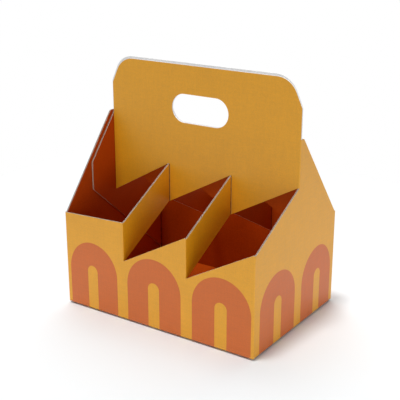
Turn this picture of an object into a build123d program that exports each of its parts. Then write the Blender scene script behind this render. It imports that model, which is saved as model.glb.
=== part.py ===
"""Cup carrier with two rows of cells, folded and glued from one die-cut blank of corrugated board.

Frame: origin on the table at the middle of the base, +X along the front wall to the right,
the front wall towards -Y, +Z up. Millimetres.

Turned half round about Z, the rear half is the front half. The board's printed face is outside.
"""
from build123d import *
import os
from math import radians, tan

# Board
board = 1.7
glue_line = 0.3
fold_inside = 0.4
fold_outside = 1.2
fold_lead = 0.5

# Cells
cell_width = 90.0
cell_count = 3
row_depth = 95.5

# Slits that free the straps from the walls and the leaves
slit_start = 76.5
slit_angle = 28.0

# End walls
corner_height = 120.5
peak_share = 0.615
peak_flat = 4.5
peak_round = 4.0

# Handle leaves
handle_height = 298.0
shoulder_drop = 32.0
shoulder_angle = 65.0
shoulder_round = 27.0
hand_hole_width = 80.0
hand_hole_height = 35.0
hand_hole_drop = 52.0
hand_hole_ease = 2.0
rear_lift = 2.5

# Glue flap inside the left end wall
flap_reach = 50.5
flap_margin = 8.5
flap_toe = 36.0
flap_toe_round = 3.0
flap_heel = 14.0
lap_short = 1.5

# Base
end_flap_depth = 36.0
flap_slit = 1.2
base_setback = 6.0
floor_clear = 0.6

# Places that follow from the sizes above
width = cell_width * cell_count
left = -width / 2
right = width / 2
front = -row_depth
back = row_depth
layer = board + glue_line
fold_depth = fold_inside + board
fold_zone = fold_depth + fold_lead
inner_zone = fold_inside + fold_lead
leaf_face = -glue_line / 2 - board
strap_reach = leaf_face - front
rise = tan(radians(slit_angle))
wall_low = slit_start
wall_high = wall_low + rise * cell_width
leaf_low = wall_low + rise * strap_reach
leaf_high = wall_high + rise * strap_reach
shoulder_low = handle_height - shoulder_drop
hand_hole_level = handle_height - hand_hole_drop
peak_height = leaf_high + peak_share * (shoulder_low - leaf_high)
slope_start = front + fold_zone
slope_end = -leaf_face - fold_zone - peak_flat
end_slope = (peak_height - corner_height) / (slope_end - slope_start)
flap_front = front + flap_reach
flap_fold = -leaf_face - fold_zone
flap_top = corner_height + end_slope * (flap_fold - slope_start) - flap_margin
toe_top = corner_height + end_slope * (flap_front - slope_start) - flap_margin
fold_lines = [left + cell_width * number for number in range(1, cell_count)]


def outline(points, rounded=()):
    """Die-cut outline through the points, with each (corner, radius) of rounded softened."""
    face = make_face(Polyline(*points, close=True))
    for corner, radius in rounded:
        face = fillet(face.vertices().sort_by_distance((*corner, 0))[0], radius)
    return face


def across(face, near, far):
    """Prism of an outline drawn in (x, z), from y = near to y = far."""
    return extrude(Plane.XZ.offset(-far) * face, amount=far - near)


def along(face, near, far):
    """Prism of an outline drawn in (y, z), from x = near to x = far."""
    return extrude(Plane.YZ.offset(near) * face, amount=far - near)


def half_turn(shape):
    """The same form on the other side of the carrier."""
    return Rot(0, 0, 180) * shape


def standing_board(points, bottom, top):
    """Board on edge whose printed face follows the points, folded square at each corner between them."""
    corners = [Vector(*point) for point in points]
    runs = [(after - before).normalized() for before, after in zip(corners, corners[1:])]
    inward = [run.rotate(Axis.Z, 90) * board for run in runs]
    turns = [before.cross(after).Z > 0 for before, after in zip(runs, runs[1:])]
    shifts = [inward[0], *(before + after for before, after in zip(inward, inward[1:])), inward[-1]]
    inner = [corner + shift for corner, shift in zip(corners, shifts)]
    printed_face = FilletPolyline(*corners, radius=[fold_outside if turn else fold_inside for turn in turns])
    inner_face = FilletPolyline(*inner, radius=[fold_inside if turn else fold_outside for turn in turns])
    ends = [Line(corners[0], inner[0]), Line(corners[-1], inner[-1])]
    section = make_face([*printed_face.edges(), *inner_face.edges(), *ends])
    return extrude(Pos(0, 0, bottom) * section, amount=top - bottom)


def side_wall_outline(far_end):
    """Front wall in (x, z): a level first section, then sections whose slit edge climbs to the right."""
    points = [(left, 0), (left, corner_height), (left + fold_zone, corner_height)]
    for fold in fold_lines:
        points += [
            (fold - fold_zone, wall_high),
            (fold - fold_depth, wall_high),
            (fold - fold_depth, wall_low),
            (fold, wall_low),
        ]
    points += [(far_end - fold_zone, wall_high), (far_end, wall_high), (far_end, 0)]
    return outline(points)


def end_wall_outline(hinged):
    """End wall in (y, z): a low half under the slit, a step at the handle, then a gable slope."""
    peak = (-slope_end, peak_height)
    step = [(leaf_face, leaf_high)]
    if hinged:
        step.append((leaf_face + fold_depth, leaf_high))
    points = [
        (front, 0),
        (front, wall_high),
        (front + fold_zone, wall_high),
        *step,
        (step[-1][0], peak_height),
        peak,
        (-slope_start, corner_height),
        (back, corner_height),
        (back, 0),
    ]
    return outline(points, rounded=[(peak, peak_round)])


def glue_flap_outline():
    """Glue flap in (y, z), hinged on the rear corner, with one long slanting lower edge."""
    toe = [(flap_front, toe_top - flap_toe), (flap_front, toe_top)]
    points = [
        (back, flap_heel),
        *toe,
        (flap_fold, flap_top),
        (-leaf_face - fold_depth, flap_top),
        (-leaf_face - fold_depth, leaf_high),
        (-leaf_face, leaf_high),
        (back - fold_zone, wall_high),
        (back, wall_high),
    ]
    return outline(points, rounded=[(corner, flap_toe_round) for corner in toe])


def wall_tube():
    """Left end wall, front, right end wall, back and glue flap, folded round in that order."""
    inner_face = left + layer
    points = [
        (left, back - lap_short),
        (left, front),
        (right, front),
        (right, back),
        (inner_face, back),
        (inner_face, flap_front),
    ]
    blank = standing_board(points, 0, peak_height)
    lap_middle = board + glue_line / 2
    walls = [
        across(side_wall_outline(right), front, front + fold_depth),
        half_turn(across(side_wall_outline(right - layer), front, front + fold_depth)),
        along(end_wall_outline(hinged=True), right - fold_depth, right),
        half_turn(along(end_wall_outline(hinged=False), right - lap_middle, right)),
        along(glue_flap_outline(), left + lap_middle, left + layer + fold_depth),
    ]
    return blank & Part() + walls


def base_flaps():
    """Upper layer of the base: the front flap between the two end flaps, parted by mitred slits."""
    rear_edge = back - board - floor_clear
    sheet = Pos(0, (front + rear_edge) / 2, layer + board / 2) * Box(width, rear_edge - front, board)
    elbow = end_flap_depth
    slit_path = Polyline(
        (left - board, front - board),
        (left + elbow, front + elbow),
        (left + elbow, rear_edge + board),
    )
    slit_face = make_face(slit_path.offset_2d(flap_slit / 2, side=Side.BOTH))
    slit = extrude(Pos(0, 0, layer) * slit_face, amount=board)
    return sheet - slit - mirror(slit, about=Plane.YZ)


def base_panel_outline(rear):
    """Lower layer of the base seen from above, set back from the front and end walls."""
    return outline([
        (left + base_setback, front + base_setback),
        (right - base_setback, front + base_setback),
        (right - base_setback, rear),
        (left + base_setback, rear),
    ])


def base_panel():
    """Lower layer of the base, folded from the foot of the back wall."""
    return extrude(base_panel_outline(back), amount=board)


def foot_edge():
    """What the rounding of a foot fold takes off a square edge at the origin, board to the upper right."""
    size = 2 * fold_outside
    return Rectangle(size, size) - Pos(fold_outside, fold_outside) * Circle(fold_outside)


def foot_cuts():
    """Rounding of the folds along the foot, and the room under the front and end walls beside the lower layer."""
    spare = board
    edge = foot_edge()
    front_cut = along(Pos(front, layer) * edge, left - spare, right + spare)
    left_cut = across(Pos(left, layer) * edge, front - spare, back + spare)
    rear_cut = along(Pos(back, 0) * mirror(edge, about=Plane.YZ), left - spare, right + spare)
    around = Rectangle(width + 2 * spare, 2 * row_depth + 2 * spare) - base_panel_outline(back + 2 * spare)
    room = extrude(Pos(0, 0, -spare) * around, amount=spare + layer)
    return [front_cut, left_cut, mirror(left_cut, about=Plane.YZ), rear_cut, room]


def strap(fold):
    """Divider between two cells: a slanting strip folded back from the wall and out into the leaf."""
    lead_in = fold - fold_zone
    lead_out = fold + inner_zone
    points = [(lead_in, front), (fold, front), (fold, leaf_face), (lead_out, leaf_face)]
    strip = standing_board(points, wall_low, leaf_high)
    wall_side = front + fold_zone
    leaf_side = leaf_face - inner_zone
    slits = outline([
        (front, wall_low),
        (wall_side, wall_low),
        (leaf_side, leaf_low),
        (leaf_face + board, leaf_low),
        (leaf_face + board, leaf_high),
        (leaf_side, leaf_high),
        (wall_side, wall_high),
        (front, wall_high),
    ])
    return strip & along(slits, lead_in, lead_out)


def leaf_outline(hinge, free, hinge_top, hole_ease, lift):
    """Handle leaf in (x, z), hinged at its right and cut free at its left, with a toothed lower edge."""
    shoulder_run = shoulder_drop / tan(radians(shoulder_angle))
    top = handle_height + lift
    shoulders = [(hinge - shoulder_run, top), (free + shoulder_run, top)]
    points = [
        (hinge - fold_depth, leaf_high),
        (hinge - fold_depth, hinge_top),
        (hinge, hinge_top),
        (hinge, shoulder_low + lift),
        *shoulders,
        (free, shoulder_low + lift),
        (free, leaf_low),
    ]
    for fold in fold_lines:
        points += [
            (fold - board, leaf_high),
            (fold + fold_inside, leaf_high),
            (fold + fold_inside, leaf_low),
            (fold + inner_zone, leaf_low),
        ]
    points.append((hinge - fold_zone, leaf_high))
    face = outline(points, rounded=[(corner, shoulder_round) for corner in shoulders])
    hole = SlotOverall(hand_hole_width + 2 * hole_ease, hand_hole_height + 2 * hole_ease)
    return face - Pos(0, hand_hole_level + lift) * hole


def half_handle(hinge, free, hinge_top, hole_ease=0, lift=0):
    """One leaf with its straps and the upright fold that joins it to an end panel."""
    leaf = across(leaf_outline(hinge, free, hinge_top, hole_ease, lift), leaf_face, leaf_face + board)
    corner = [(hinge - fold_zone, leaf_face), (hinge, leaf_face), (hinge, leaf_face + fold_zone)]
    end_fold = standing_board(corner, leaf_high, hinge_top)
    return leaf + end_fold + [strap(fold) for fold in fold_lines]


def carrier():
    """The whole folded blank."""
    box = wall_tube() + base_flaps() + base_panel() - foot_cuts()
    front_handle = half_handle(right, left + 2 * layer, peak_height)
    rear_handle = half_handle(right - layer, left + layer, flap_top, hand_hole_ease, rear_lift)
    return box + front_handle + half_turn(rear_handle)


os.makedirs("parts", exist_ok=True)
export_step(carrier(), "parts/carrier.step")
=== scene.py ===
from math import acos, ceil, cos, pi, radians, sin, sqrt, tan
import bpy
import numpy as np
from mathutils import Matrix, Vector


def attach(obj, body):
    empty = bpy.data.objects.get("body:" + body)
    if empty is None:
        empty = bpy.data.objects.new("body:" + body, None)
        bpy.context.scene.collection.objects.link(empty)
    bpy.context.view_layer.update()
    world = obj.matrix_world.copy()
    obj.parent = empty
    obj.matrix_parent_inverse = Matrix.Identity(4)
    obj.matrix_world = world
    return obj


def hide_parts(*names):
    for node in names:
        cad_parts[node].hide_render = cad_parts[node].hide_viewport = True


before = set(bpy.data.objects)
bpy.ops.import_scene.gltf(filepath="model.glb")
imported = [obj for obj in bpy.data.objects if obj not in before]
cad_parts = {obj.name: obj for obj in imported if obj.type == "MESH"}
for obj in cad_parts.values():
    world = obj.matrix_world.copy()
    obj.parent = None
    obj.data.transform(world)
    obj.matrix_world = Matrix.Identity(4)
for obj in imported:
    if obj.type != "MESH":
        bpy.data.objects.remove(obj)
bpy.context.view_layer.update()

# Sizes of the folded blank, in millimetres, as in the CAD model
board = 1.7
glue_line = 0.3
fold_inside = 0.4
fold_outside = 1.2
fold_lead = 0.5
cell_width = 90.0
cell_count = 3
row_depth = 95.5
slit_start = 76.5
slit_angle = 28.0
corner_height = 120.5
peak_share = 0.615
peak_flat = 4.5
peak_round = 4.0
handle_height = 298.0
shoulder_drop = 32.0
shoulder_angle = 65.0
shoulder_round = 27.0
hole_width = 80.0
hole_height = 35.0
hole_drop = 52.0
hole_ease = 2.0
rear_lift = 2.5
flap_reach = 50.5
flap_margin = 8.5
flap_toe = 36.0
flap_toe_round = 3.0
flap_heel = 14.0
lap_short = 1.5
end_flap_depth = 36.0
flap_slit = 1.2
base_setback = 6.0
floor_clear = 0.6

# Sizes of the board's make, which the CAD model leaves out
liner = 0.22
medium = 0.16
flute_pitch = 3.4
washboard = 0.03
corner_foot = 0.3
crease_depth = 0.5
crease_half = 0.7
# Width of the painted shade beside each fold, a dark band standing for the shade in its hollow
pinch_half = 1.0

# Sizes of the print; the bleed is how far the arches run round the foot, bare_from where print inside ends
arch_pitch = 93.0
arch_shift = -1.3
arch_end_pitch = 95.6
arch_end_first = -43.3
arch_half = 38.75
arch_spring = 50.0
slot_half = 8.0
slot_spring = 51.0
print_blur = 0.2
bleed = 8.0
bare_from = 215.0

# Heights in the print that stand for the legs of the arches and for the plain field above them
leg_level = 1.0
plain_level = 1000.0

# Fineness of the mesh
columns_per_flute = 6
fold_columns = 13
crease_columns = 9
column_decimals = 3
corner_steps = 8
shoulder_steps = 12
hole_steps = 15

# Places that follow from the sizes above
width = cell_width * cell_count
left = -width / 2
right = width / 2
front = -row_depth
back = row_depth
layer = board + glue_line
fold_depth = fold_inside + board
fold_zone = fold_depth + fold_lead
inner_zone = fold_inside + fold_lead
leaf_face = -glue_line / 2 - board
hinge_step = leaf_face + fold_depth
strap_reach = leaf_face - front
rise = tan(radians(slit_angle))
wall_low = slit_start
wall_high = wall_low + rise * cell_width
leaf_low = wall_low + rise * strap_reach
leaf_high = wall_high + rise * strap_reach
shoulder_low = handle_height - shoulder_drop
hole_level = handle_height - hole_drop
peak_height = leaf_high + peak_share * (shoulder_low - leaf_high)
slope_start = front + fold_zone
slope_end = -leaf_face - fold_zone - peak_flat
end_slope = (peak_height - corner_height) / (slope_end - slope_start)
flap_face = left + layer
flap_front = front + flap_reach
flap_fold = -leaf_face - fold_zone
flap_top = corner_height + end_slope * (flap_fold - slope_start) - flap_margin
toe_top = corner_height + end_slope * (flap_front - slope_start) - flap_margin
fold_lines = [left + cell_width * number for number in range(1, cell_count)]
foot = layer + fold_depth
rear_foot = fold_depth
corner_low = layer + corner_foot
panel_half = right - base_setback
rear_edge = back - board - floor_clear
column_spacing = flute_pitch / columns_per_flute

# Kinds of surface, in the order of the materials
PRINT, INSIDE, RAW, CORE, WHITE = range(5)


# Board along a folded path
def across_run(run):
    """Direction into the board, square to a run of its path."""
    return np.array([-run[1], run[0]])


class FoldedPath:
    """Line of the printed face seen along the board's edge, measured as if its corners were square."""

    def __init__(self, points):
        self.points = np.array(points, float)
        steps = np.diff(self.points, axis=0)
        lengths = np.hypot(steps[:, 0], steps[:, 1])
        self.runs = steps / lengths[:, None]
        self.marks = np.concatenate([[0.0], np.cumsum(lengths)])
        before, after = self.runs[:-1], self.runs[1:]
        self.turns = np.sign(before[:, 0] * after[:, 1] - before[:, 1] * after[:, 0])
        self.reach = np.where(self.turns > 0, fold_depth, fold_inside)

    def spot(self, q, depth):
        """Point in the board, at a depth under the printed face."""
        share = depth / board
        for number, (mark, turn) in enumerate(zip(self.marks[1:-1], self.turns)):
            near, far = (fold_outside, fold_inside) if turn > 0 else (fold_inside, fold_outside)
            radius = near + (far - near) * share
            zone = radius + depth if turn > 0 else fold_inside
            if abs(q - mark) < zone:
                return self.fold_spot(number, turn, radius, depth, (q - mark) / zone, zone)
        number = int(np.clip(np.searchsorted(self.marks, q) - 1, 0, len(self.runs) - 1))
        run = self.runs[number]
        return self.points[number] + run * (q - self.marks[number]) + across_run(run) * depth

    def fold_spot(self, number, turn, radius, depth, place, zone):
        """Point inside a fold; place runs from -1 where the fold starts to 1 where it ends."""
        run, after = self.runs[number], self.runs[number + 1]
        mark = self.points[number + 1]
        corner = mark + (across_run(run) + across_run(after)) * depth
        enter, leave = corner - run * radius, corner + after * radius
        # A ridge is all arc, and a valley is an arc in the middle half of its zone
        arc = 1.0 if turn > 0 else 0.5
        if abs(place) > arc:
            share = (abs(place) - arc) / (1 - arc)
            if place < 0:
                return enter + (mark - run * zone + across_run(run) * depth - enter) * share
            return leave + (mark + after * zone + across_run(after) * depth - leave) * share
        angle = (place / arc + 1) * pi / 4
        radial = run * sin(angle) - across_run(run) * turn * cos(angle)
        return enter + across_run(run) * turn * radius + radial * radius

    def trace(self, q, depths):
        """Plan points of one face of a sheet."""
        return np.array([self.spot(value, depth) for value, depth in zip(q, depths)])

    def creases(self, q):
        """Depth to which the scored valley folds are pressed in."""
        depth = 0 * q
        for mark, turn in zip(self.marks[1:-1], self.turns):
            if turn < 0:
                depth = depth + crease_depth * np.exp(-((q - mark) / crease_half) ** 2)
        return depth

    def pinches(self, q, face):
        """Weight, from 0 to 1, of the painted shade near folds whose hollow is on a face: -1 is the
        printed face, 1 the inner one.
        """
        near = 0 * q
        for mark, turn, reach in zip(self.marks[1:-1], self.turns, self.reach):
            if turn == face:
                beside = np.maximum(np.abs(q - mark) - reach, 0)
                near = np.maximum(near, np.exp(-(beside / pinch_half) ** 2))
        return near

    def columns(self, start, end, extra):
        """Places of the mesh columns: even ones, the extra ones and a fan of them in each fold."""
        places = [start, end, *extra]
        first, last = ceil(start / column_spacing), ceil(end / column_spacing)
        places += [column_spacing * number for number in range(first, last)]
        crease = 2 * crease_half
        for mark, reach in zip(self.marks[1:-1], self.reach):
            places += list(np.linspace(mark - reach, mark + reach, fold_columns))
            places += [mark - reach - pinch_half, mark + reach + pinch_half]
            places += list(np.linspace(mark - crease, mark + crease, crease_columns))
        return np.unique(np.round([q for q in places if start <= q <= end], column_decimals))


def rounded(before, corner, after, radius, steps=corner_steps):
    """Points along the arc that softens a corner of an outline."""
    before, corner, after = (np.array(point, float) for point in (before, corner, after))
    one = (before - corner) / np.linalg.norm(before - corner)
    two = (after - corner) / np.linalg.norm(after - corner)
    half = acos(float(one @ two)) / 2
    middle = (one + two) / np.linalg.norm(one + two)
    centre = corner + middle * radius / sin(half)
    start = corner + one * radius / tan(half) - centre
    end = corner + two * radius / tan(half) - centre
    arc = []
    for share in np.linspace(0, 1, steps + 1):
        spoke = start * (1 - share) + end * share
        arc.append(tuple(centre + spoke / np.linalg.norm(spoke) * radius))
    return arc


def follow(line, q):
    """Height at q of a line through (q, height) points, level beyond its ends."""
    return np.interp(q, *np.array(line).T)


def level(height, end=1):
    """Line at one height."""
    return [(0, height), (end, height)]


def flute(q):
    """Height of the fluted sheet's wave, from -1 to 1."""
    return np.cos(2 * pi * q / flute_pitch)


def fluted_sheets(path, q):
    """Depths of the near and far face of each of the board's three sheets."""
    ripple = washboard * (1 + flute(q)) / 2
    swing = (board / 2 - liner - medium / 2) * flute(q)
    middle = board / 2 + swing
    zero = 0 * q
    return [
        (ripple + path.creases(q), zero + liner + path.creases(q)),
        (middle - medium / 2, middle + medium / 2),
        (zero + board - liner, board - ripple),
    ]


def solid_sheet(path, q):
    """Depths of the two faces of board whose flutes can't be seen."""
    return [(0 * q, 0 * q + board)]


def upright(a, b, c):
    """Points of standing board, as its path is drawn."""
    return np.stack([a, b, c], -1)


def upright_rear(a, b, c):
    """Points of standing board, turned half round."""
    return np.stack([-a, -b, c], -1)


# Mesh under construction: points, faces, their kinds of surface, places in the print and nearness to
# folds, which weights the painted shade in the folds
verts, faces, kinds, coords, pinched = [], [], [], [], []


def add_board(path, start, end, low, high, art, place=upright, sheets=fluted_sheets, caps="", edge=RAW):
    """Adds board along a path, between a lower and an upper line of (q, height) points.

    Caps names the ends that are cut edges: s for the start, e for the end.
    """
    q = path.columns(start, end, [q for q, height in [*low, *high]])
    bottom, top = follow(low, q), follow(high, q)
    count = len(q)
    stack = sheets(path, q)
    for number, depths in enumerate(stack):
        base = sum(len(block) for block in verts)
        for depth, face in zip(depths, (-1, 1)):
            spot = path.trace(q, depth)
            for height in (bottom, top):
                verts.append(place(spot[:, 0], spot[:, 1], height))
                coords.append(np.stack(art(q, height), -1))
                pinched.append(path.pinches(q, face))
        near_low, near_high, far_low, far_high = (base + count * block for block in range(4))
        near_kind = PRINT if number == 0 else CORE
        far_kind = INSIDE if number == len(stack) - 1 else CORE
        for i in range(count - 1):
            j = i + 1
            faces.append((near_low + i, near_low + j, near_high + j, near_high + i))
            faces.append((far_low + j, far_low + i, far_high + i, far_high + j))
            faces.append((near_high + i, near_high + j, far_high + j, far_high + i))
            faces.append((near_low + j, near_low + i, far_low + i, far_low + j))
            kinds.extend((near_kind, far_kind, edge, edge))
        if "s" in caps:
            faces.append((near_low, near_high, far_high, far_low))
            kinds.append(edge)
        if "e" in caps:
            i = count - 1
            faces.append((near_low + i, far_low + i, far_high + i, near_high + i))
            kinds.append(edge)


# Ring of walls, from the rear of the left end round to the glue flap
ring = FoldedPath([
    (left, back - lap_short),
    (left, front),
    (right, front),
    (right, back),
    (flap_face, back),
    (flap_face, flap_front),
])
corner_a, corner_b, corner_c, corner_d = ring.marks[1:5]


# Distance along the ring at a place on each of its walls
def on_left(y):
    return back - lap_short - y


def on_front(x):
    return corner_a + x - left


def on_right(y):
    return corner_b + y - front


def on_back(x):
    return corner_c + right - x


def on_flap(y):
    return corner_d + back - y


def turned(place):
    """The same way to measure, seen after half a turn of the carrier."""
    return lambda value: place(-value)


# Upper lines of the walls
def slit_sections(place, far_end):
    """Upper lines of the three sections of a side wall."""
    starts = [(left, corner_height, left + fold_zone)]
    starts += [(fold - fold_depth, wall_low, fold) for fold in fold_lines]
    stops = [(fold - fold_zone, fold - fold_depth) for fold in fold_lines]
    stops.append((far_end - fold_zone, far_end))
    sections = []
    for (first, height, level_to), (peak, last) in zip(starts, stops):
        points = [(first, height), (level_to, height), (peak, wall_high), (last, wall_high)]
        sections.append([(place(x), z) for x, z in points])
    return sections


def low_half(place, first, hinged):
    """Upper line of the low half of an end wall, up to the step at the handle."""
    points = [(first, wall_high), (slope_start, wall_high), (leaf_face, leaf_high)]
    if hinged:
        points.append((hinge_step, leaf_high))
    return [(place(y), z) for y, z in points]


def gable(place, step):
    """Upper line of the gabled half of an end wall."""
    corner = (-slope_end, peak_height)
    peak = rounded((step, peak_height), corner, (-slope_start, corner_height), peak_round)
    points = [(step, peak_height), *peak, (-slope_start, corner_height), (back, corner_height)]
    return [(place(y), z) for y, z in points]


front_tops = slit_sections(on_front, right)
rear_tops = slit_sections(turned(on_back), right - layer)
left_low = low_half(turned(on_left), lap_short - back, hinged=False)
left_gable = gable(turned(on_left), leaf_face)
right_low = low_half(on_right, front, hinged=True)
right_gable = gable(on_right, hinge_step)
flap_low = low_half(turned(on_flap), front, hinged=True)


# Lower lines of the walls, down to the folds along the foot
def front_corner(corner):
    """Lower line at a front corner, where the upright fold runs down between two foot folds."""
    return [
        (corner - fold_zone, foot),
        (corner - fold_depth, corner_low),
        (corner + fold_depth, corner_low),
        (corner + fold_zone, foot),
    ]


toe_foot = (on_flap(flap_front), toe_top - flap_toe)
toe_head = (on_flap(flap_front), toe_top)
heel_end = corner_d + fold_depth
heel_rise = follow([(corner_d, flap_heel), toe_foot], heel_end + fold_lead)
right_rear_corner = [
    (corner_c - fold_zone, foot),
    (corner_c - fold_depth, corner_low),
    (on_back(panel_half) - fold_lead, corner_low),
    (on_back(panel_half), rear_foot),
]
left_rear_corner = [
    (on_back(-panel_half), rear_foot),
    (on_back(-panel_half) + fold_lead, corner_low),
    (heel_end, corner_low),
    (heel_end + fold_lead, heel_rise),
    toe_foot,
]

# Places in the print: arch centres round the ring are at whole numbers, heights are in millimetres
end_arches = [arch_end_first, arch_end_first + arch_end_pitch]
side_arches = [arch_shift + arch_pitch * number for number in (-1, 0, 1)]
arch_marks = [
    *map(turned(on_left), end_arches),
    *map(on_front, side_arches),
    *map(on_right, end_arches),
    *map(turned(on_back), side_arches),
]
arches_beyond = 2
arch_numbers = [
    (arch_marks[0] - arches_beyond * arch_pitch, -arches_beyond),
    *((mark, number) for number, mark in enumerate(arch_marks)),
    (arch_marks[-1] + arches_beyond * arch_pitch, len(arch_marks) - 1 + arches_beyond),
]


def ring_art(q, height):
    """Place in the print on the ring of walls."""
    return follow(arch_numbers, q), height


def plain_art(q, height):
    """Place in the plain field of the print."""
    return 0 * q, 0 * q + plain_level


def leaf_art(q, height):
    """Place on a handle leaf: the plain field, with its height, for the bare zone inside."""
    return 0 * q, height + plain_level


def add_wall(low, high, caps=""):
    """Adds the part of the ring under one upper line."""
    add_board(ring, high[0][0], high[-1][0], low, high, ring_art, caps=caps)


def add_glue_flap():
    """Adds the flap's part in front of the handle's hinge, with its rounded toe."""
    start = on_flap(-hinge_step)
    heel = (start, follow(left_rear_corner, start))
    peak = (on_flap(flap_fold), flap_top)
    low = [heel, *rounded(heel, toe_foot, toe_head, flap_toe_round)]
    high = [(start, flap_top), peak, *rounded(peak, toe_head, toe_foot, flap_toe_round)]
    add_board(ring, start, toe_head[0], low, high, plain_art, caps="e")


add_wall(level(foot), left_low, caps="s")
add_wall(front_corner(corner_a), left_gable + front_tops[0], caps="s")
add_wall(level(foot), front_tops[1])
add_wall(front_corner(corner_b), front_tops[2] + right_low)
add_wall(right_rear_corner, right_gable + rear_tops[0])
add_wall(level(rear_foot), rear_tops[1])
add_wall(left_rear_corner, rear_tops[2] + flap_low)
add_glue_flap()


# Straps and handle leaves, the rear ones turned half round
def add_strap(fold, place):
    """Slanting divider, from the front wall's fold to the leaf's fold."""
    path = FoldedPath([
        (fold - fold_zone, front),
        (fold, front),
        (fold, leaf_face),
        (fold + inner_zone, leaf_face),
    ])
    start = fold_lead
    slope_from = path.marks[1] + fold_zone
    slope_to = path.marks[2] - inner_zone
    end = path.marks[-1] - fold_lead
    low = [(start, wall_low), (slope_from, wall_low), (slope_to, leaf_low), (end, leaf_low)]
    high = [(start, wall_high), (slope_from, wall_high), (slope_to, leaf_high), (end, leaf_high)]
    add_board(path, start, end, low, high, plain_art, place)


def hole_edge(sign, ease, lift):
    """Upper or lower edge of the hand hole."""
    radius = hole_height / 2 + ease
    middle = hole_width / 2 + ease - radius
    height = hole_level + lift
    bend = np.linspace(0, pi / 2, hole_steps + 1)
    first = [(-middle - radius * cos(angle), height + sign * radius * sin(angle)) for angle in bend]
    return first + [(-x, z) for x, z in reversed(first)]


def leaf_head(hinge, free, lift):
    """Upper line of a leaf, with its rounded shoulders."""
    run = shoulder_drop / tan(radians(shoulder_angle))
    ends = [(free, shoulder_low + lift), (hinge, shoulder_low + lift)]
    tops = [(free + run, handle_height + lift), (hinge - run, handle_height + lift)]
    return [
        ends[0],
        *rounded(ends[0], tops[0], tops[1], shoulder_round, shoulder_steps),
        *rounded(tops[0], tops[1], ends[1], shoulder_round, shoulder_steps),
        ends[1],
    ]


def leaf_teeth(hinge, free):
    """Lower lines of a leaf's three teeth."""
    starts = [(free, free)]
    starts += [(fold + fold_inside, fold + inner_zone) for fold in fold_lines]
    stops = [(fold - board, fold + fold_inside) for fold in fold_lines]
    stops.append((hinge - fold_zone, hinge - fold_depth))
    teeth = []
    for (first, level_to), (level_from, last) in zip(starts, stops):
        low_run = [(first, leaf_low), (level_to, leaf_low)]
        teeth.append([*low_run, (level_from, leaf_high), (last, leaf_high)])
    return teeth


def add_leaf(hinge, free, hinge_top, ease, lift, place):
    """Handle leaf in upright strips, parted round the hand hole, and the fold at its hinge."""
    path = FoldedPath([(free - fold_zone, leaf_face), (hinge + fold_zone, leaf_face)])

    def along(points):
        return [(x - free + fold_zone, z) for x, z in points]

    def strip(first, last, low, high, caps=""):
        (start, _), (end, _) = along([(first, 0), (last, 0)])
        add_board(path, start, end, along(low), along(high), leaf_art, place, solid_sheet, caps, WHITE)

    head = leaf_head(hinge, free, lift)
    half = hole_width / 2 + ease
    for tooth in leaf_teeth(hinge, free):
        first, last = tooth[0][0], tooth[-1][0]
        if first < 0 < last:
            strip(first, -half, tooth, head)
            strip(-half, half, tooth, hole_edge(-1, ease, lift))
            strip(-half, half, hole_edge(1, ease, lift), head)
            strip(half, last, tooth, head)
        else:
            strip(first, last, tooth, head, caps="s" if first == free else "")
    strip(hinge - fold_depth, hinge, [(free, hinge_top), (hinge, hinge_top)], head, caps="e")
    corner = FoldedPath([
        (hinge - fold_zone, leaf_face),
        (hinge, leaf_face),
        (hinge, leaf_face + fold_zone),
    ])
    end = corner.marks[-1] - fold_lead
    add_board(corner, fold_lead, end, level(leaf_high, end), level(hinge_top, end), plain_art, place)


for half_place in (upright, upright_rear):
    for fold in fold_lines:
        add_strap(fold, half_place)
add_leaf(right, left + 2 * layer, peak_height, ease=0.0, lift=0.0, place=upright)
add_leaf(right - layer, left + layer, flap_top, ease=hole_ease, lift=rear_lift, place=upright_rear)


# Base: front and end flaps inside, and the lower panel from the foot of the back wall
def add_base(reach, low, high, pitch, first, place):
    """Base panel with its foot fold; low and high are its side edges, against distance from the wall."""
    path = FoldedPath([(0, fold_depth), (0, 0), (reach, 0)])

    def beyond_fold(side):
        return [(fold_depth + a, edge) for a, edge in side]

    def art(q, c):
        return (c - first) / pitch, np.where(q < bleed, leg_level, plain_level)

    sides = beyond_fold(low), beyond_fold(high)
    add_board(path, 0.0, fold_depth + reach, *sides, art, place, solid_sheet, caps="e")


# Points of each base panel, from the distance to its wall, the height and the place along the wall
def front_base(a, b, c):
    return np.stack([c, front + a, layer + b], -1)


def right_base(a, b, c):
    return np.stack([right - a, c, layer + b], -1)


def left_base(a, b, c):
    return np.stack([left + a, -c, layer + b], -1)


def rear_base(a, b, c):
    return np.stack([-c, back - a, b], -1)


def other_way(side):
    """The same edge, measured the other way."""
    return [(a, -edge) for a, edge in side]


mitre = flap_slit / 2 * sqrt(2)
flap_edge = end_flap_depth + flap_slit / 2
front_side = [
    (0, left + fold_zone),
    (fold_zone - mitre, left + fold_zone),
    (flap_edge - mitre, left + flap_edge),
]
end_side = [
    (0, front + fold_zone),
    (fold_zone - mitre, front + fold_zone),
    (end_flap_depth, front + end_flap_depth + mitre),
]
end_rear = level(back - board)
end_reach = end_flap_depth - flap_slit / 2
panel_side = level(-panel_half)
panel_reach = back - front - base_setback

add_base(rear_edge - front, front_side, other_way(front_side), arch_pitch, arch_shift, front_base)
add_base(end_reach, end_side, end_rear, arch_end_pitch, arch_end_first, right_base)
add_base(end_reach, other_way(end_rear), other_way(end_side), arch_end_pitch, arch_end_first, left_base)
add_base(panel_reach, panel_side, other_way(panel_side), arch_pitch, arch_shift, rear_base)
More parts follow.
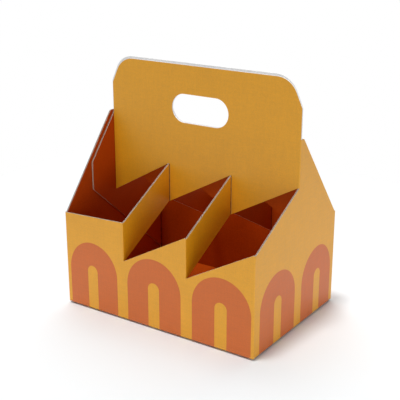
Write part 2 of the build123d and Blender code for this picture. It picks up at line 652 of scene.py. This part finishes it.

# Colours of the board, and the dark tints of the painted shade in its folds
YELLOW = (0.77, 0.345, 0.002)
ORANGE = (0.60, 0.121, 0.002)
# Painted shade in the hollows of folds on the printed outside
PRINT_FOLD_SHADE = (0.20, 0.055, 0.0)
INNER_LOW = (0.39, 0.048, 0.0)
INNER_HIGH = (0.43, 0.054, 0.0)
# Painted shade in the hollows of folds on the inside
INNER_FOLD_SHADE = (0.12, 0.008, 0.0)
WHITE_LOW = (0.84, 0.835, 0.83)
WHITE_HIGH = (0.90, 0.895, 0.89)
RAW_LOW = (0.80, 0.73, 0.64)
RAW_HIGH = (0.92, 0.85, 0.76)
CORE_LOW = (0.42, 0.27, 0.16)
CORE_HIGH = (0.54, 0.37, 0.24)

# Finish of the board
print_roughness = (0.42, 0.52)
print_gloss = 0.7
inner_roughness = 0.6
inner_gloss = 0.1
bare_roughness = 0.9
relief_strength = 0.12
relief_depth = 0.0002

# Grain of the board: scales of its patterns, spans of their values, and how far they darken and lighten
fine_scale = 700.0
fine_span = (0.25, 0.75)
fine_shade = (0.93, 1.07)
fibre_scale = 450.0
fibre_stretch = 0.1
fibre_shade = (0.978, 1.022)
cloud_scale = 22.0
cloud_shade = (0.975, 1.025)
noise_span = (0.3, 0.7)

# Painted shade in the folds, as dark lines: where they begin beside a fold, and how uneven they are along
# it
pinch_near = (0.2, 1.0)
pinch_scale = 160.0
pinch_span = (0.3, 0.6)
pinch_strength = (0.35, 1.0)


# Parts of materials
def new_material(name):
    """Material with a Principled shader, its node tree and the shader."""
    material = bpy.data.materials.new(name)
    material.use_nodes = True
    tree = material.node_tree
    return material, tree, tree.nodes["Principled BSDF"]


def math_node(tree, operation, first, second=None):
    """Output of a math node on sockets or numbers."""
    node = tree.nodes.new("ShaderNodeMath")
    node.operation = operation
    for socket, value in zip(node.inputs, (first, second)):
        if isinstance(value, (int, float)):
            socket.default_value = value
        elif value is not None:
            tree.links.new(value, socket)
    return node.outputs[0]


def noise(tree, scale, detail, stretch=(1.0, 1.0, 1.0)):
    """Noise pattern in the board, longer along the axes with a small stretch."""
    mapping = tree.nodes.new("ShaderNodeMapping")
    mapping.inputs["Scale"].default_value = stretch
    tree.links.new(tree.nodes.new("ShaderNodeTexCoord").outputs["Object"], mapping.inputs["Vector"])
    node = tree.nodes.new("ShaderNodeTexNoise")
    node.inputs["Scale"].default_value = scale
    node.inputs["Detail"].default_value = detail
    tree.links.new(mapping.outputs["Vector"], node.inputs["Vector"])
    return node.outputs["Fac"]


def map_range(tree, value, span, onto=(0.0, 1.0)):
    """Value carried from one range to another and held at its ends."""
    node = tree.nodes.new("ShaderNodeMapRange")
    tree.links.new(value, node.inputs["Value"])
    node.inputs["From Min"].default_value = span[0]
    node.inputs["From Max"].default_value = span[1]
    node.inputs["To Min"].default_value = onto[0]
    node.inputs["To Max"].default_value = onto[1]
    return node.outputs["Result"]


def mix(tree, factor, first, second):
    """Colour between two colours or sockets."""
    node = tree.nodes.new("ShaderNodeMix")
    node.data_type = "RGBA"
    tree.links.new(factor, node.inputs["Factor"])
    for name, value in (("A", first), ("B", second)):
        socket = next(one for one in node.inputs if one.name == name and one.type == "RGBA")
        if isinstance(value, tuple):
            socket.default_value = (*value, 1.0)
        else:
            tree.links.new(value, socket)
    return next(one for one in node.outputs if one.type == "RGBA")


def set_colour(tree, shader, colour, factor):
    """Gives the shader a colour made lighter or darker by a factor."""
    node = tree.nodes.new("ShaderNodeVectorMath")
    node.operation = "SCALE"
    tree.links.new(colour, node.inputs[0])
    tree.links.new(factor, node.inputs["Scale"])
    tree.links.new(node.outputs[0], shader.inputs["Base Color"])


def add_bump(tree, shader, height):
    """Fine relief on the surface."""
    node = tree.nodes.new("ShaderNodeBump")
    node.inputs["Strength"].default_value = relief_strength
    node.inputs["Distance"].default_value = relief_depth
    tree.links.new(height, node.inputs["Height"])
    tree.links.new(node.outputs["Normal"], shader.inputs["Normal"])


def grain(tree):
    """Paper grain and slow mottling of print on board, as a factor near 1, and the fine grain itself."""
    fine = noise(tree, fine_scale, detail=4.0)
    upright_fibres = noise(tree, fibre_scale, detail=3.0, stretch=(1.0, 1.0, fibre_stretch))
    level_fibres = noise(tree, fibre_scale, detail=3.0, stretch=(fibre_stretch, fibre_stretch, 1.0))
    cloud = noise(tree, cloud_scale, detail=2.0)
    factor = map_range(tree, fine, fine_span, fine_shade)
    patterns = [(upright_fibres, fibre_shade), (level_fibres, fibre_shade), (cloud, cloud_shade)]
    for pattern, shades in patterns:
        factor = math_node(tree, "MULTIPLY", factor, map_range(tree, pattern, noise_span, shades))
    return factor, fine


def pinch_field(tree):
    """Factor of painted shade, growing towards the hollow side of a fold, uneven along the fold."""
    pinch = tree.nodes.new("ShaderNodeAttribute")
    pinch.attribute_name = "pinch"
    near = map_range(tree, pinch.outputs["Fac"], pinch_near)
    uneven = map_range(tree, noise(tree, pinch_scale, detail=2.0), pinch_span, pinch_strength)
    return math_node(tree, "MULTIPLY", near, uneven)


def print_place(tree):
    """Place along and up the print, from the mesh's own coordinates."""
    split = tree.nodes.new("ShaderNodeSeparateXYZ")
    tree.links.new(tree.nodes.new("ShaderNodeTexCoord").outputs["UV"], split.inputs[0])
    return split.outputs["X"], split.outputs["Y"]


def arch_field(tree):
    """Factor that is 1 on the printed arches, 0 on the plain field."""
    along, height = print_place(tree)
    half_repeat = 0.5
    wrapped = math_node(tree, "FRACT", math_node(tree, "ADD", along, half_repeat))
    across = math_node(tree, "MULTIPLY", math_node(tree, "SUBTRACT", wrapped, half_repeat), arch_pitch)

    def inside(half, spring):
        over = math_node(tree, "MAXIMUM", math_node(tree, "SUBTRACT", height, spring), 0.0)
        join = tree.nodes.new("ShaderNodeCombineXYZ")
        tree.links.new(across, join.inputs["X"])
        tree.links.new(over, join.inputs["Y"])
        length = tree.nodes.new("ShaderNodeVectorMath")
        length.operation = "LENGTH"
        tree.links.new(join.outputs[0], length.inputs[0])
        return map_range(tree, length.outputs["Value"], (half - print_blur, half + print_blur), (1.0, 0.0))

    return math_node(tree, "SUBTRACT", inside(arch_half, arch_spring), inside(slot_half, slot_spring))


# Materials
def outside_material():
    """Printed outside: yellow with orange arches, satin, with painted shade in the hollows of folds."""
    material, tree, shader = new_material("printed_board_outside")
    shader.inputs["Specular IOR Level"].default_value = print_gloss
    factor, fine = grain(tree)
    tint = mix(tree, arch_field(tree), YELLOW, ORANGE)
    # Painted shade: the print darkens towards the hollow side of folds
    tint = mix(tree, pinch_field(tree), tint, PRINT_FOLD_SHADE)
    set_colour(tree, shader, tint, factor)
    tree.links.new(map_range(tree, fine, noise_span, print_roughness), shader.inputs["Roughness"])
    add_bump(tree, shader, fine)
    return material


def inside_material():
    """Printed inside: orange red with painted shade in the hollows of folds, and bare white high between
    the leaves, where they are glued.
    """
    material, tree, shader = new_material("printed_board_inside")
    shader.inputs["Roughness"].default_value = inner_roughness
    shader.inputs["Specular IOR Level"].default_value = inner_gloss
    factor, fine = grain(tree)
    fleck = map_range(tree, fine, noise_span)
    tint = mix(tree, fleck, INNER_LOW, INNER_HIGH)
    # Painted shade: the inner print darkens towards the hollow side of folds
    tint = mix(tree, pinch_field(tree), tint, INNER_FOLD_SHADE)
    bare_at = plain_level + bare_from
    bare = map_range(tree, print_place(tree)[1], (bare_at - print_blur, bare_at + print_blur))
    tint = mix(tree, bare, tint, mix(tree, fleck, WHITE_LOW, WHITE_HIGH))
    set_colour(tree, shader, tint, factor)
    add_bump(tree, shader, fine)
    return material


def bare_material(name, low, high):
    """Unprinted board between two tints."""
    material, tree, shader = new_material(name)
    shader.inputs["Roughness"].default_value = bare_roughness
    factor, fine = grain(tree)
    set_colour(tree, shader, mix(tree, map_range(tree, fine, noise_span), low, high), factor)
    return material


materials = [
    outside_material(),
    inside_material(),
    bare_material("cut_edge", RAW_LOW, RAW_HIGH),
    bare_material("fluted_core", CORE_LOW, CORE_HIGH),
    bare_material("white_board", WHITE_LOW, WHITE_HIGH),
]

# One mesh for the whole blank
millimetre = 0.001
sharp_angle = 35.0
points = np.concatenate(verts) * millimetre
mesh = bpy.data.meshes.new("carrier_board")
mesh.from_pydata(points.tolist(), [], faces)
for material in materials:
    mesh.materials.append(material)
mesh.polygons.foreach_set("material_index", kinds)
corners = np.zeros(len(mesh.loops), dtype=np.int32)
mesh.loops.foreach_get("vertex_index", corners)
print_map = mesh.uv_layers.new(name="print")
print_map.data.foreach_set("uv", np.concatenate(coords)[corners].ravel().astype(np.float32))
# Nearness to the hollow of each fold, which weights the painted shade there
fold_shade_layer = mesh.attributes.new("pinch", "FLOAT", "POINT")
fold_shade_layer.data.foreach_set("value", np.concatenate(pinched).astype(np.float32))
mesh.update()
mesh.polygons.foreach_set("use_smooth", [True] * len(mesh.polygons))
mesh.set_sharp_from_angle(angle=radians(sharp_angle))
carrier = bpy.data.objects.new("carrier_board", mesh)
bpy.context.collection.objects.link(carrier)
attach(carrier, "root")
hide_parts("carrier")

# Floor
floor_reach = 0.6
floor_colour = (0.82, 0.85, 0.868, 1.0)
floor_roughness = 0.8
floor_corners = [(x * floor_reach, y * floor_reach, 0) for x, y in ((-1, -1), (1, -1), (1, 1), (-1, 1))]
floor_mesh = bpy.data.meshes.new("floor")
floor_mesh.from_pydata(floor_corners, [], [(0, 1, 2, 3)])
floor = bpy.data.objects.new("floor", floor_mesh)
floor_material, _, floor_shader = new_material("studio_floor")
floor_shader.inputs["Base Color"].default_value = floor_colour
floor_shader.inputs["Roughness"].default_value = floor_roughness
floor_shader.inputs["Specular IOR Level"].default_value = 0.0
floor_mesh.materials.append(floor_material)
bpy.context.collection.objects.link(floor)

# Lights
ambient_strength = 0.27
white_strength = 1.0


def background(tree, strength):
    """White background of a strength."""
    node = tree.nodes.new("ShaderNodeBackground")
    node.inputs["Color"].default_value = (1.0, 1.0, 1.0, 1.0)
    node.inputs["Strength"].default_value = strength
    return node.outputs[0]


def add_world():
    """Even dim light from all round, on a background that is seen as white."""
    world = bpy.data.worlds.new("studio")
    bpy.context.scene.world = world
    world.use_nodes = True
    tree = world.node_tree
    tree.nodes.clear()
    rays = tree.nodes.new("ShaderNodeLightPath")
    seen = math_node(tree, "MAXIMUM", rays.outputs["Is Camera Ray"], rays.outputs["Is Glossy Ray"])
    seen = math_node(tree, "MAXIMUM", seen, rays.outputs["Is Transmission Ray"])
    choose = tree.nodes.new("ShaderNodeMixShader")
    tree.links.new(seen, choose.inputs[0])
    tree.links.new(background(tree, ambient_strength), choose.inputs[1])
    tree.links.new(background(tree, white_strength), choose.inputs[2])
    output = tree.nodes.new("ShaderNodeOutputWorld")
    tree.links.new(choose.outputs[0], output.inputs["Surface"])


def add_sun(name, towards, strength, spread):
    """Distant soft light that comes from the given direction, with its spread in degrees."""
    light = bpy.data.lights.new(name, "SUN")
    light.energy = strength
    light.angle = radians(spread)
    lamp = bpy.data.objects.new(name, light)
    lamp.rotation_euler = Vector(towards).to_track_quat("Z", "Y").to_euler()
    bpy.context.collection.objects.link(lamp)


add_world()
add_sun("key", towards=(-0.10, -0.16, 0.98), strength=1.8, spread=12.0)
add_sun("rear", towards=(-0.30, 0.50, 0.81), strength=1.4, spread=55.0)
add_sun("front", towards=(0.20, -0.96, 0.18), strength=0.5, spread=16.0)
add_sun("side", towards=(1.00, -0.15, 0.08), strength=0.65, spread=30.0)

# Camera
sensor_width = 36.0
lens_length = 79.28
camera_place = (0.5716, -0.8389, 0.4786)
camera_aim = (-0.5339, 0.7824, -0.3207)
camera = bpy.data.cameras.new("camera")
camera.sensor_width = sensor_width
camera.lens = lens_length
viewer = bpy.data.objects.new("camera", camera)
viewer.location = camera_place
viewer.rotation_euler = Vector(camera_aim).to_track_quat("-Z", "Y").to_euler()
bpy.context.collection.objects.link(viewer)
bpy.context.scene.camera = viewer
bpy.context.scene.view_settings.view_transform = "Standard"
